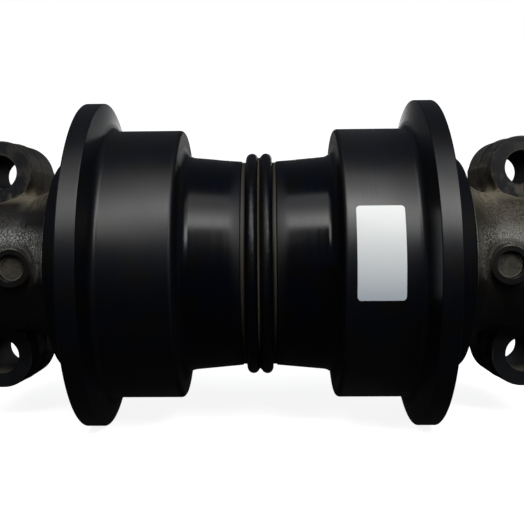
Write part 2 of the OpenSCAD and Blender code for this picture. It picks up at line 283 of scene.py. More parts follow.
# %% Stage
def stage_sheet(name, corners, finish):
    """A flat sheet through four corners, in metres, that isn't part of the object."""
    mesh = bpy.data.meshes.new(name)
    mesh.from_pydata(corners, [], [(0, 1, 2, 3)])
    sheet = bpy.data.objects.new(name, mesh)
    bpy.context.scene.collection.objects.link(sheet)
    mesh.materials.append(finish.material)


def stage_white(name, glow, in_gloss, throws):
    """White of strength glow where the camera or a clear ray meets it, in_gloss for glossy rays,
    and a matt colour of lightness throws for the light that it passes on."""
    white = Finish(name, Roughness=1.0, Specular_IOR_Level=0.0, Emission_Color=(1.0, 1.0, 1.0))
    seen, strength = white.white_rays(glow, in_gloss)
    white.set(Base_Color=white.colour(seen, (throws, throws, throws), (0.8, 0.8, 0.8)))
    white.set(Emission_Strength=strength)
    return white


# Sizes of the stage are in metres.
FLOOR_Z, BACKDROP_X, BACKDROP_TOP = cad_low[2], -2.2, 0.55
floor_corners = [(x, y, FLOOR_Z) for x, y in ((-6, -6), (6, -6), (6, 6), (-6, 6))]
stage_sheet("floor", floor_corners, stage_white("floor_white", 0.88, 0.012, 0.018))
backdrop_corners = [(BACKDROP_X, y, z) for y, z in
                    ((-3, FLOOR_Z), (-3, BACKDROP_TOP), (3, BACKDROP_TOP), (3, FLOOR_Z))]
stage_sheet("backdrop", backdrop_corners, stage_white("backdrop_white", 1.0, 0.30, 0.05))
print("floor at", round(FLOOR_Z, 4), "m")

# %% World
world = bpy.data.worlds.new("studio")
world.use_nodes = True
bpy.context.scene.world = world
sky = Graph(world.node_tree)
sky.tree.nodes.clear()
fill = sky.node("ShaderNodeBackground", (), {"Color": (0.80, 0.88, 1.0), "Strength": 0.055})
white = sky.node("ShaderNodeBackground", (), {"Color": (1.0, 1.0, 1.0), "Strength": 1.0})
whiteness = sky.white_rays(1.0, 0.02)[1]
blend = sky.node("ShaderNodeMixShader", (), {0: whiteness, 1: fill, 2: white})
sky.node("ShaderNodeOutputWorld", (), {"Surface": blend})
bpy.context.scene.view_settings.view_transform = "Standard"
print("world nodes:", len(sky.tree.nodes))

# %% [markdown]
# ## Lamps
# On satin black paint the shape is read from the reflection of the lamps, which runs
# along the roller as one bright band. The light here is like a bank of windows high in
# front: panes side by side along the shaft, each a stack of lamps. The lowest lamp is
# the strongest, so the band has a clear lower edge and fades upwards. A dim strip low
# behind draws the inner faces of the flanges.

# %% Lamps
PANE_AWAY = 1.14  # metres from the shaft
PANE_COLOUR = (1.0, 0.995, 0.975)
# Each pane: its ends along Y in metres, then its lamps from the lowest up, as angles above
# the floor in degrees from and to, and watts per square metre.
PANES = {
    "left": ((-0.46, -0.25), ((24, 44, 21.5), (44, 56, 6), (56, 72, 2.5))),
    "middle": ((-0.25, 0.24), ((38.5, 49.5, 24), (49.5, 54.5, 15), (54.5, 59, 9), (59, 64, 6), (64, 77, 5))),
    "right": ((0.24, 0.66), ((23, 42, 29), (42, 54, 8), (54, 72, 3.5))),
}


def soft_lamp(name, place, aim, size, power, colour=(1.0, 1.0, 1.0)):
    """A rectangular lamp of size (width, height) metres and power watts at place, turned to aim."""
    lamp = bpy.data.objects.new(name, bpy.data.lights.new(name, "AREA"))
    bpy.context.scene.collection.objects.link(lamp)
    lamp.data.shape, lamp.data.size, lamp.data.size_y = "RECTANGLE", *size
    lamp.data.energy, lamp.data.color = power, colour
    z = np.array(place) - np.array(aim)
    z = z / np.linalg.norm(z)
    x = np.cross((0, 0, 1), z)
    x = x / np.linalg.norm(x)
    turn = np.eye(4)
    turn[:3, 0], turn[:3, 1], turn[:3, 2], turn[:3, 3] = x, np.cross(z, x), z, place
    lamp.matrix_world = Matrix(turn.tolist())


def pane_lamp(name, ends, low, high, strength):
    """A lamp square to the line from the shaft at the middle angle between low and high: its
    height is 2 away tan((high - low) / 2), so that lamps above each other join up."""
    middle, y = math.radians((low + high) / 2), (ends[0] + ends[1]) / 2
    width, height = ends[1] - ends[0], 2 * PANE_AWAY * math.tan(math.radians(high - low) / 2)
    place = about_shaft((PANE_AWAY * math.cos(middle), y, PANE_AWAY * math.sin(middle)))
    soft_lamp(name, place, about_shaft((0, y, 0)), (width, height), strength * width * height,
              PANE_COLOUR)


for part, (ends, lamps) in PANES.items():
    for i, (low, high, strength) in enumerate(lamps):
        pane_lamp(f"pane_{part}_{i}", ends, low, high, strength)
soft_lamp("strip_behind", about_shaft((-1.2, 0.35, 0.30)), (0, 0.05, 0), (0.9, 0.14), 0.75)
print("lamps:", len(bpy.data.lights))

# %% [markdown]
# ## Turned pieces
# A lathe makes round pieces: a profile of (radius, distance) goes once round the shaft.
# Blender's Spin or Screw could do it, but a grid worked out with numpy is one line of
# cosines, gives even quads, and lets the radius waver with the angle where a forging
# isn't perfect. Every corner that is seen gets a small round, because an edge without
# one never catches the light.

# %% Profiles and turned surfaces
def rounded_profile(corners, longest, beside=0.15, turn=0.2):
    """Rounds each corner (u, v, radius) of a path with an arc that touches both sides: the arc
    starts radius / tan(half the corner's angle) from the corner, and has a point for every
    turn radians. Straight runs over 0.8 mm get a point beside each arc, and runs longer than
    longest millimetres are divided."""
    path = np.array([c[:2] for c in corners], float)
    radii = [c[2] for c in corners]
    runs = []
    for i, corner in enumerate(path):
        if radii[i] <= 0 or i in (0, len(path) - 1):
            runs.append(corner[None])
            continue
        a = (path[i - 1] - corner) / np.linalg.norm(path[i - 1] - corner)
        b = (path[i + 1] - corner) / np.linalg.norm(path[i + 1] - corner)
        half = math.acos(np.clip(a @ b, -1, 1)) / 2
        middle = corner + (a + b) / np.linalg.norm(a + b) * radii[i] / math.sin(half)
        start, end = corner + a * radii[i] / math.tan(half), corner + b * radii[i] / math.tan(half)
        sweep = math.pi - 2 * half
        t = np.linspace(0, 1, max(4, int(sweep / turn)))[:, None]
        swung = np.sin((1 - t) * sweep) * (start - middle) + np.sin(t * sweep) * (end - middle)
        runs.append(middle + swung / math.sin(sweep))
    points = [runs[0]]
    for before, after in zip(runs, runs[1:]):
        gap = after[0] - before[-1]
        length = np.linalg.norm(gap)
        shares = int(length / longest) + 1
        marks = list(np.arange(1, shares) / shares)
        if length > 0.8:
            marks += [beside / length, 1 - beside / length]
        if marks:
            points.append(before[-1] + np.array(sorted(marks))[:, None] * gap)
        points.append(after)
    return np.concatenate(points)


def sheet_piece(name, points, wrap_u=False, wrap_v=False, flip=False, finish=None):
    """Object from a grid of points (n, m, 3) in millimetres: each cell of the grid is one quad,
    and wrap joins the last row or column to the first."""
    n, m = points.shape[:2]
    i, j = np.meshgrid(np.arange(n if wrap_u else n - 1), np.arange(m if wrap_v else m - 1), indexing="ij")
    i2, j2 = (i + 1) % n, (j + 1) % m
    quads = np.stack([i * m + j, i2 * m + j, i2 * m + j2, i * m + j2], -1).reshape(-1, 4)
    return mesh_piece(name, points.reshape(-1, 3), quads[:, ::-1] if flip else quads, finish)


def mesh_piece(name, points, quads, finish=None):
    """Object from points in millimetres and quads of their numbers."""
    mesh = bpy.data.meshes.new(name)
    mesh.vertices.add(len(points))
    mesh.vertices.foreach_set("co", (np.asarray(points, np.float32) * MM).ravel())
    mesh.loops.add(quads.size)
    mesh.loops.foreach_set("vertex_index", quads.ravel().astype(np.int32))
    mesh.polygons.add(len(quads))
    mesh.polygons.foreach_set("loop_start", np.arange(0, quads.size, 4, dtype=np.int32))
    mesh.update(calc_edges=True)
    mesh.polygons.foreach_set("use_smooth", np.ones(len(quads), bool))
    piece = bpy.data.objects.new(name, mesh)
    bpy.context.scene.collection.objects.link(piece)
    if finish:
        mesh.materials.append(finish.material)
    return piece


def turned_about_shaft(profile, steps, waver=None):
    """Grid of points (r cos a, y, r sin a) for each profile point (r, y) and angle a;
    waver(y, a) is added to r."""
    a = np.arange(steps) / steps * 2 * math.pi
    r, y = profile[:, :1], profile[:, 1:]
    if waver:
        r = r + waver(y, a)
    return np.stack([r * np.cos(a), y + 0 * a, r * np.sin(a)], -1)


print("profile helpers ready")

# %% [markdown]
# ## The roller's two halves
# Each half is a forging, turned on a lathe: a waist, a tread, a flange with a
# chamfered rim, and a shoulder that covers the seal. A friction weld joins the halves,
# and it presses out two curls of metal with a sharp seam between them. The curls
# waver a little, because nothing machines them.

# %% Roller halves
def curl_waver(y, a):
    """Sum of slow cosines of the angle, felt only on the curl beside the seam."""
    on_curl = np.clip((GROOVE_Y[0] - np.abs(y)) / 1.5, 0, 1) * (np.abs(y) > 0.3)
    return on_curl * (0.12 * np.cos(3 * a + 0.8) + 0.08 * np.cos(7 * a + 2.1) + 0.05 * np.cos(16 * a))


def roller_half_profile(side):
    """Closed section of a half, outside from the seam to the end, then back inside. The curl is
    an arc that starts at the seam and ends at the foot of the groove."""
    t = np.radians(np.linspace(-62, 82, 22))
    curl = np.stack([CURL_MID_R + CURL_R * np.cos(t), CURL_Y[side] + CURL_R * np.sin(t)], -1)
    outside = rounded_profile([
        (*curl[-1], 0), (GROOVE_R, GROOVE_Y[0], 0.25), (GROOVE_R, GROOVE_Y[1], 0.3),
        (WAIST_R, GROOVE_Y[1] + 0.4, 0.4), (WAIST_FOOT_R, TREAD_Y, WAIST_FILLET),
        (TREAD_R, TREAD_Y, 2.4), (TREAD_R, FLANGE_FOOT_Y, 3.2), (FLANGE_R, RIM_Y[0], 0.7),
        (FLANGE_R, RIM_Y[1] - RIM_CHAMFER, 0.3), (FLANGE_R - RIM_CHAMFER, RIM_Y[1], 0.3),
        (SHOULDER_R + 0.2, RIM_Y[1], 3.0), (END_R + 1.0, END_Y - 1.0, 0.5), (END_R, END_Y, 0.4),
        (MOUTH_R, END_Y, 0.5), (MOUTH_R, MOUTH_Y, 0), (SEAL_R, MOUTH_Y, 0.4), (SEAL_R, SEAL_Y, 0),
        (COUNTERBORE_R, SEAL_Y, 0.3), (COUNTERBORE_R, COUNTERBORE_Y, 0), (BUSHING_R, COUNTERBORE_Y, 0),
        (BUSHING_R, BUSHING_END_Y, 0), (OIL_ROOM_R, BUSHING_END_Y, 0), (OIL_ROOM_R, 0.0, 0)], longest=6.0)
    return np.concatenate([[(SEAM_R, 0.0)], curl[:-1], outside])


def roller_half(name, side, finish):
    """The section turned about the shaft; side is 1 for the right half, -1 for the left."""
    profile = roller_half_profile(side) * (1, side)
    points = turned_about_shaft(profile, 288, lambda y, a: curl_waver(y, a + side))
    return sheet_piece(name, points, wrap_u=True, wrap_v=True, flip=side > 0, finish=finish)


print("section of the right half:", len(roller_half_profile(1)), "points")

# %% [markdown]
# ## Black paint on turned steel
# Under the thin satin paint the turning marks still show: fine rings that follow the
# radius on a face and the distance along the shaft on a tread. A pattern that reads
# (radius, distance) instead of (x, y, z) draws exactly such rings. The treads and
# flanges carry a thin dull film of oil over the paint, which is a clear coat here, and
# the waist between them is bare of it and smoother. Dust lies in the seam and in the
# grooves beside the curls.

# %% Roller paint
def turning_rings(finish, point, pitch, wave):
    """Ring pattern of that pitch in millimetres, from 0 to 1, a little broken round the shaft."""
    x, y, z = finish.parts(point)
    r = (x * x + z * z) ** 0.5
    drift = finish.noise(point, 0.02, 1.0) * wave
    return finish.noise(finish.join(r + drift, y - drift * 0.7, 0.0), 1 / pitch, 2.0, 0.6)


def roller_paint():
    """Satin black, with masks for where it is oiled, dusty or rough."""
    paint = Finish("roller_paint", IOR=1.34, Coat_IOR=1.5, Coat_Roughness=0.34)
    point = paint.point()
    x, y, z = paint.parts(point)
    r, out = (x * x + z * z) ** 0.5, abs(y)
    fine, coarse = turning_rings(paint, point, 0.55, 0.4), turning_rings(paint, point, 3.0, 1.5)
    cloud, hue = paint.noise(point, 0.022, 3.0, 0.6), paint.noise(point, 0.055, 2.0, 0.55)
    grain = paint.noise(point, 0.9, 3.0, 0.65)

    on_curl = out.ramp(7.6, 7.2) * r.ramp(60.5, 61.2)
    inner_curl = y.near(3.0, 1.1, 0.9) * on_curl
    in_groove = r.ramp(60.4, 59.7)
    on_waist = out.ramp(43.5, 37.0) * r.ramp(72.0, 64.0)
    tread_wall = r.ramp(62.9, 64.5) * out.near(41.5, 3.0, 1.5)
    flange_foot = r.near(80.2, 1.4, 0.8) * out.ramp(76.0, 79.0)
    dull = out.ramp(99.5, 101.5)

    seam = out.ramp(0.25, 0.6, 0.62, 0.0) * r.ramp(63.2, 62.2)
    left_groove, right_groove = (y + 8.5).near(0.0, 0.50, 0.6), (y - 8.8).near(0.0, 0.35, 0.45)
    groove = (left_groove * 0.24 + right_groove * 0.22) * in_groove
    dust = (seam + groove).low(1.0) * (grain * 0.9 + 0.5).low(1.2)
    black = paint.colour(hue.ramp(0.42, 0.62), (0.0006, 0.0013, 0.0042), (0.0016, 0.0015, 0.0020))
    paint.set(Base_Color=paint.colour(dust, black, (0.200, 0.170, 0.118)))

    oil_film = 0.34 + (cloud - 0.5) * 0.5 + y.near(52.0, 9.0, 18.0) * 0.30
    oily = (1 - on_waist) * (1 - dull) * out.ramp(TREAD_Y, TREAD_Y + 3.0) * oil_film
    paint.set(Coat_Weight=oily * (1 - dust * 2).top(0.0))

    rough = (0.350 - on_waist * 0.145 + (flange_foot + tread_wall) * 0.2 + on_curl * 0.10
             + inner_curl * 0.12 + dull * 0.08 - y.near(50.0, 9.0, 18.0) * 0.05
             + in_groove * 0.25 + (fine - 0.5) * 0.10 + (coarse - 0.5) * 0.08 + (cloud - 0.5) * 0.10)
    paint.set(Roughness=rough + dust * 0.35)

    lumps = paint.noise(point, 0.55, 3.0, 0.6, 0.6) * on_curl
    marks = paint.bump(coarse * 0.5 + fine * 0.5, 0.012, after=paint.bump(lumps, 0.20))
    paint.set(Normal=paint.bump(grain, 0.010, after=marks))
    return paint


satin_black = roller_paint()
for side, word in ((-1, "left"), (1, "right")):
    half = roller_half("roller_half_" + word, side, satin_black)
    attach(half, "roller")
    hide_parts("shell_" + word)
    print(half.name, len(half.data.polygons), "quads")

# %% [markdown]
# ## Label
# A film label is stuck on the right tread. It is blank here, and its lower end is
# painted darker and bluer, as shade. A flat rectangle would cut through the round tread,
# so each row of a grid is laid at its own angle about the shaft, and the rows near the
# ends are shortened to round the corners.

# %% Label
def label_grid(low_y, high_y, low_a, high_a, corner, r, rows=60, columns=24):
    """Point (r cos a, y, r sin a); a row closer to an end than the corner radius is shortened by
    corner - sqrt(corner^2 - depth^2), as a circle does. Rows and columns lie closer together
    towards the edges, by a half turn of a cosine."""
    row_ease, column_ease = (0.5 - 0.5 * np.cos(np.linspace(0, math.pi, n)) for n in (rows, columns))
    arc = low_a * r + row_ease * (high_a - low_a) * r
    depth = np.clip(corner - np.minimum(arc - arc[0], arc[-1] - arc), 0, corner)
    inset = corner - np.sqrt(corner ** 2 - depth ** 2)
    y = low_y + inset + column_ease[:, None] * (high_y - low_y - 2 * inset)
    a = np.broadcast_to(arc / r, y.shape)
    return np.stack([r * np.cos(a), y, r * np.sin(a)], -1)


def label_film():
    """Glossy white film with painted shade: darker and bluer towards its lower end, which faces the floor.
    """
    film = Finish("label_film", IOR=1.48)
    point = film.point()
    fibre, cloud = film.noise(point, 1.6, 3.0, 0.6), film.noise(point, 0.05, 2.0)
    # Painted shade: the film turns darker and bluer towards its lower end.
    lower = film.parts(point)[2].ramp(14.0, -26.0)
    paper = film.colour(cloud, (0.80, 0.84, 0.86), (0.87, 0.88, 0.89))
    film.set(Base_Color=film.colour(lower, paper, (0.58, 0.66, 0.74)), Roughness=0.26 + fibre * 0.10)
    film.set(Normal=film.bump(fibre * 0.3 + cloud, 0.02))
    return film


LABEL_SPAN, LABEL_CORNER = 48.6, 2.0  # millimetres; the span goes round the tread
LABEL_MIDDLE = math.radians(6.1)  # the angle about the shaft, up from the front
FILM_WALL, FILM_GAP = 0.15, 0.03  # millimetres
low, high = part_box("label")
half_span = LABEL_SPAN / TREAD_R / 2
label_points = label_grid(low[1] / MM, high[1] / MM, LABEL_MIDDLE - half_span,
                          LABEL_MIDDLE + half_span, LABEL_CORNER, TREAD_R + FILM_GAP)
label = sheet_piece("label_film", label_points, finish=label_film())
wall = label.modifiers.new("film", "SOLIDIFY")
wall.thickness, wall.offset = FILM_WALL * MM, 1.0
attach(label, "roller")
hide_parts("label")
print("label", round((high[1] - low[1]) / MM, 1), "mm wide")

# %% [markdown]
# ## Cast collars
# A collar is one casting: a hub round the shaft, a flare that widens to the seal's rim,
# two round ears with a bolt pad on each, and a boss for the lock pin. In a casting every
# inner corner is a soft fillet, and no two fillets are alike. Pieces joined with a
# Boolean would keep hard creases there, so the rough casting is described by its
# distance function: at each point, how far is the nearest skin, negative inside. Two
# such distances melt together with a smooth minimum, and that is the fillet. A grid of
# the distance then gives the skin.

# %% Distances
def outline_distance(u, v, outline):
    """Distance from points (u, v) to a closed outline, negative inside: the least distance to
    an edge, with a sign that flips at each edge crossed."""
    nearest, sign = np.full(u.shape, 1e9), np.ones(u.shape)
    for (au, av), (bu, bv) in zip(outline, np.roll(outline, 1, axis=0)):
        eu, ev, wu, wv = bu - au, bv - av, u - au, v - av
        t = np.clip((wu * eu + wv * ev) / (eu * eu + ev * ev), 0, 1)
        nearest = np.minimum(nearest, (wu - eu * t) ** 2 + (wv - ev * t) ** 2)
        above, below, left = v >= av, v < bv, eu * wv > ev * wu
        sign = np.where((above & below & left) | ~(above | below | left), -sign, sign)
    return sign * np.sqrt(nearest)


def slab(flat, along, low, high, edge):
    """A flat distance carried from low to high along an axis, with edges rounded by edge."""
    a, b = flat + edge, np.abs(along - (low + high) / 2) - (high - low) / 2 + edge
    return np.minimum(np.maximum(a, b), 0) + np.hypot(np.maximum(a, 0), np.maximum(b, 0)) - edge


def melt(a, b, size):
    """Smooth minimum: the lesser distance, made less where the two are within size of each other."""
    h = np.clip(0.5 + 0.5 * (b - a) / size, 0, 1)
    return b + (a - b) * h - size * h * (1 - h)


def arc(u, v, r, start, end, steps):
    """Points (u + r cos a, v + r sin a) while a goes from start to end degrees."""
    a = np.radians(np.linspace(start, end, steps))
    return np.stack([u + r * np.cos(a), v + r * np.sin(a)], -1)


flare_from = math.degrees(math.acos((HUB_R + FLARE_R - COLLAR_RIM_R) / FLARE_R))
HUB_OUTLINE = np.concatenate([
    [(-5, NOSE_Y - 1), (NOSE_R + 1, NOSE_Y - 1), (NOSE_R + 1, COLLAR_FRONT_Y - 1),
     (COLLAR_RIM_R, COLLAR_FRONT_Y - 1)],
    arc(HUB_R + FLARE_R, FLARE_Y, FLARE_R, 180 + flare_from, 180, 14),
    [(HUB_R, COLLAR_END_Y - 3)], arc(HUB_R - 3, COLLAR_END_Y - 3, 3, 20, 90, 4), [(-5, COLLAR_END_Y)]])
EAR_OUTLINE = np.concatenate([
    [(BOLT_Y - EAR_R, -30)], arc(BOLT_Y, BOLT_Z, EAR_R, 180, 0, 24), [(BOLT_Y + EAR_R, -30)]])
print("hub outline", len(HUB_OUTLINE), "points; ear outline", len(EAR_OUTLINE))


# %% The casting's distance
def cast_unevenness(x, y, z):
    """Slow waves of about 0.1 mm, as a sand mould leaves them."""
    return (0.10 * np.sin(x / 4.1 + 1.3 * np.sin(y / 6.3)) * np.sin(z / 5.2 + 0.7)
            + 0.07 * np.sin(y / 2.9 + 1.7 * np.sin(z / 7.1)) * np.sin(x / 3.3 + z / 9.0)
            + 0.12 * np.sin(y / 9.7 + 0.5) * np.sin(z / 11.3 + x / 8.0))


def collar_distance(x, y, z):
    """Distance to the rough casting of the right collar, before it is machined."""
    r, side = np.hypot(x, z), np.abs(z)
    hub = outline_distance(r, y, HUB_OUTLINE)
    parting = 0.35 * np.exp(-((x - PARTING_X) / 0.8) ** 2)
    ear = slab(outline_distance(y, side, EAR_OUTLINE) - parting, x, ROUGH_X, PARTING_X + 1.5, 2.0)
    # The column behind the pad is a little wider than the pad, more so with depth.
    post_r = PAD_R + 0.2 + 0.35 * (1 - np.exp(np.minimum(x, 0) / 5)) + np.clip(-x, 0, 26) * 0.004
    post = slab(np.hypot(y - BOLT_Y, side - BOLT_Z) - post_r, x, ROUGH_X, 0.2, 1.3)
    web_flat = np.maximum(np.abs(y - BOLT_Y + WEB_SHIFT) - WEB_HALF, side - BOLT_Z)
    web = slab(web_flat, x, ROUGH_X, WEB_X, 2.5)
    pin_r = np.hypot(y - PIN_Y, z)
    boss_draft = np.clip(PIN_BOSS_X - x, 0, 8) * 0.07
    boss = slab(pin_r - PIN_BOSS_R - boss_draft, x, 0.0, PIN_BOSS_X + 2, 0.8)
    exit_boss = slab(pin_r - EXIT_BOSS_R, x, RELIEF_X, 0.0, 2.0)
    relief = -slab(np.maximum(side - RELIEF_Z, RELIEF_Y - y), x, MOUNT_X - 10, RELIEF_X, 1.0)
    body = melt(melt(ear, post, 1.6), web, 4.0)
    body = melt(body, hub, 6.0)
    body = melt(melt(body, boss, 2.2), exit_boss, 3.0)
    body = np.maximum(body, y - EAR_END_Y)
    return np.maximum(body, relief) + cast_unevenness(x, y, z)


on_hub = collar_distance(*np.array([[HUB_R], [150.0], [0.0]]))[0]
print("distance at the hub's skin:", round(float(on_hub), 2), "mm")

# %% [markdown]
# ## From distance to skin
# Surface nets turn the distance into quads. Each grid cell that the skin passes through
# gets one vertex, each grid edge that the skin cuts gets one quad between its four
# cells, and then every vertex slides down the slope of the distance until it lies on
# the skin. It is marching cubes' simpler cousin, and its quads are more even.

# %% Surface nets
def skin(distance, low, high, step, slides=4):
    """Vertices and quads where distance(x, y, z) is zero inside the box from low to high. In each
    slide a vertex moves against the gradient by the distance there, or by one step at most."""
    axes = [np.arange(a, b + step, step) for a, b in zip(low, high)]
    inside = distance(*np.meshgrid(*axes, indexing="ij")) < 0
    corners = sum(inside[i:i - 1 or None, j:j - 1 or None, k:k - 1 or None].astype(np.int8)
                  for i in (0, 1) for j in (0, 1) for k in (0, 1))
    crossed = (corners > 0) & (corners < 8)
    number = np.full(crossed.shape, -1)
    number[crossed] = np.arange(crossed.sum())
    points = np.array(low) + (np.argwhere(crossed) + 0.5) * step
    quads = []
    for axis in range(3):
        u, v = (axis + 1) % 3, (axis + 2) % 3
        lower, upper = np.moveaxis(inside, axis, 0)[:-1], np.moveaxis(inside, axis, 0)[1:]
        cut = np.argwhere(np.moveaxis(lower != upper, 0, axis))
        outward = np.moveaxis(lower, 0, axis)[tuple(cut.T)]
        ring = []
        for du, dv in ((1, 1), (0, 1), (0, 0), (1, 0)):
            cell = cut.copy()
            cell[:, u] -= du
            cell[:, v] -= dv
            ring.append(number[tuple(cell.T)])
        ring = np.stack(ring, -1)
        quads.append(np.where(outward[:, None], ring, ring[:, ::-1]))
    for _ in range(slides):
        off_skin = np.clip(distance(*points.T), -step, step)
        points = points - off_skin[:, None] * gradient(distance, points)
    return points, np.concatenate(quads)


def gradient(distance, points, reach=0.35):
    """Direction in which the distance grows, from differences over reach millimetres."""
    slope = np.stack([distance(*(points + offset).T) - distance(*(points - offset).T)
                      for offset in np.eye(3) * reach], -1)
    return slope / np.maximum(np.linalg.norm(slope, axis=1, keepdims=True), 1e-9)


CAST_LOW, CAST_HIGH, CAST_STEP = (-57, 84, -78), (57, 177, 78), 1.15
cast_points, cast_quads = skin(collar_distance, CAST_LOW, CAST_HIGH, CAST_STEP)
print("casting:", len(cast_points), "points,", len(cast_quads), "quads")

# %% [markdown]
# ## Machining the casting
# A real collar is then bored, drilled and faced, and these cuts are crisp where the cast
# skin is soft. Here a Boolean is the right tool: each cutter is a turned solid, as the
# tool that made the cut. The cut faces are found again by where they lie, and get a
# smoother finish.

# %% Cutters
def turned_solid(name, profile, centre_y=None, z=0.0, steps=96):
    """Closed solid from a profile of (radius, distance), turned about the shaft, or about a line
    along X through (centre_y, z)."""
    points = turned_about_shaft(np.array(profile, float), steps)
    if centre_y is not None:
        points = np.stack([points[..., 1], centre_y + points[..., 0], z + points[..., 2]], -1)
    solid = sheet_piece(name, points, wrap_u=True, wrap_v=True)
    close_poles(solid)
    return solid


def close_poles(piece, apart=0.002 * MM):
    """Merges points that coincide on the axis and turns all faces outwards."""
    form = bmesh.new()
    form.from_mesh(piece.data)
    bmesh.ops.remove_doubles(form, verts=form.verts, dist=apart)
    bmesh.ops.dissolve_degenerate(form, edges=form.edges, dist=apart)
    bmesh.ops.recalc_face_normals(form, faces=form.faces)
    form.to_mesh(piece.data)
    form.free()


def cut_away(piece, cutters):
    """Subtracts each cutter from the piece for good, and removes the cutters."""
    for cutter in cutters:
        tool = piece.modifiers.new("cut", "BOOLEAN")
        tool.operation, tool.solver, tool.object = "DIFFERENCE", "MANIFOLD", cutter
        graph = bpy.context.evaluated_depsgraph_get()
        result = bpy.data.meshes.new_from_object(piece.evaluated_get(graph))
        piece.modifiers.clear()
        piece.data = result
        bpy.data.objects.remove(cutter)


def collar_cutters():
    """The seal bore, the shaft bore with its ring groove, the pin boss's face, the pin hole, a
    facing cut and a bolt hole on each ear, and the mounting plane. Each reaches past the casting."""
    past, boss, bore, groove = 70, PIN_BOSS_X, SHAFT_R + 0.05, SHAFT_R + 3.1
    yield turned_solid("seal_bore", [
        (0, past), (0, NOSE_Y), (NOSE_R, NOSE_Y), (NOSE_R, SEAL_FLOOR_Y), (SEAL_R, SEAL_FLOOR_Y),
        (SEAL_R, COLLAR_FRONT_Y + 0.8), (SEAL_R + 0.8, COLLAR_FRONT_Y), (60.0, COLLAR_FRONT_Y),
        (60.0, past)])
    yield turned_solid("shaft_bore", [
        (0, past), (0, 190), (SHAFT_R + 1.0, 190), (SHAFT_R + 1.0, COLLAR_END_Y),
        (bore, COLLAR_END_Y - 1.2), (bore, ORING_Y[1]), (groove, ORING_Y[1]), (groove, ORING_Y[0]),
        (bore, ORING_Y[0]), (bore, past)])
    yield turned_solid("boss_face", [
        (0, boss), (PIN_BOSS_R - 0.45, boss), (PIN_BOSS_R + 0.75, boss - 1.2), (16, boss - 1.2),
        (16, past), (0, past)], PIN_Y)
    yield turned_solid("pin_hole", [
        (0, -past), (PIN_R + 0.1, -past), (PIN_R + 0.1, boss - 0.35), (PIN_R + 0.5, boss + 0.05),
        (PIN_R + 0.5, past), (0, past)], PIN_Y)
    for z in (-BOLT_Z, BOLT_Z):
        yield turned_solid("facing", [
            (0, 0), (FACING_R - 0.4, 0), (FACING_R, 0.4), (FACING_R, 60), (0, 60)], BOLT_Y, z)
        yield turned_solid("bolt_hole", [
            (0, -past), (BOLT_R, -past), (BOLT_R, -0.5), (BOLT_R + 0.6, 0.1), (BOLT_R + 0.6, 20),
            (0, 20)], BOLT_Y, z)
    yield turned_solid("mounting_plane", [(0, -90), (120, -90), (120, MOUNT_X), (0, MOUNT_X)], 140.0)


collar_right = mesh_piece("collar_right_cast", cast_points, cast_quads)
cut_away(collar_right, collar_cutters())
print("machined collar:", len(collar_right.data.polygons), "faces")

# %% Machined faces and corners of the collar
def machined(centres, normals):
    """True for faces on a cutter's surface, told from place and direction."""
    x, y, z = centres.T
    r, pin = np.hypot(x, z), np.hypot(y - PIN_Y, z)
    bolt = np.hypot(y - BOLT_Y, np.abs(z) - BOLT_Z)
    faces_x = np.abs(normals[:, 0])

    def plane(at):
        """Faces that lie flat at x = at."""
        return (faces_x > 0.995) & (np.abs(x - at) < 0.05)

    pads = plane(0.0) & (bolt < FACING_R + 1)
    bolt_holes = np.abs(bolt - BOLT_R) < 0.75
    facing_walls = (np.abs(bolt - FACING_R) < 0.15) & (x > 0) & (faces_x < 0.9)
    pin_hole = pin < PIN_R + 0.6
    boss_face = plane(PIN_BOSS_X) & (pin < PIN_BOSS_R)
    shaft_bore = r < SHAFT_R + 3.2
    seal_bore = (y < SEAL_FLOOR_Y + 0.1) & (r < SEAL_R + 0.3)
    front = y < COLLAR_FRONT_Y + 0.1
    return (pads | bolt_holes | facing_walls | pin_hole | boss_face | plane(MOUNT_X) | shaft_bore
            | seal_bore | front)


def read(items, name, kind, width=1):
    """The value called name of every item of a mesh, as an array with width numbers for each."""
    values = np.empty(len(items) * width, kind)
    items.foreach_get(name, values)
    return values.reshape(-1, width) if width > 1 else values


def finish_collar(collar, cast, cut):
    """Gives cut faces their own finish, keeps their edges crisp, and stores two masks on the
    points: crevice, where the skin is hemmed in, and cut_edge, beside a machined edge."""
    mesh = collar.data
    mesh.materials.clear()
    mesh.materials.append(cast.material)
    mesh.materials.append(cut.material)
    centres = read(mesh.polygons, "center", np.float32, 3) / MM
    is_cut = machined(centres, read(mesh.polygons, "normal", np.float32, 3))
    mesh.polygons.foreach_set("material_index", is_cut.astype(np.int32))
    mesh.polygons.foreach_set("use_smooth", np.ones(len(mesh.polygons), bool))
    mesh.set_sharp_from_angle(angle=math.radians(38))

    starts = read(mesh.polygons, "loop_start", np.int32)
    owner = np.repeat(np.arange(len(starts)), np.diff(np.append(starts, len(mesh.loops))))
    cut_sides = np.bincount(read(mesh.loops, "edge_index", np.int32), is_cut[owner], len(mesh.edges))
    sharp = read(mesh.attributes["sharp_edge"].data, "value", bool)
    mesh.attributes["sharp_edge"].data.foreach_set("value", sharp | (cut_sides == 1))

    points = read(mesh.vertices, "co", np.float32, 3) / MM
    slope = gradient(collar_distance, points)
    hemmed = [np.clip(1 - collar_distance(*(points + slope * reach).T) / reach, 0, 1)
              for reach in (3.0, 8.0, 16.0)]
    corners = read(mesh.loops, "vertex_index", np.int32)
    cut_here, cast_here = np.zeros(len(points)), np.zeros(len(points))
    np.maximum.at(cut_here, corners, is_cut[owner])
    np.maximum.at(cast_here, corners, ~is_cut[owner])
    masks = {"crevice": sum(hemmed) / len(hemmed), "cut_edge": cut_here * cast_here}
    for name, values in masks.items():
        mesh.attributes.new(name, "FLOAT", "POINT").data.foreach_set("value", values.astype(np.float32))
    return is_cut.sum()


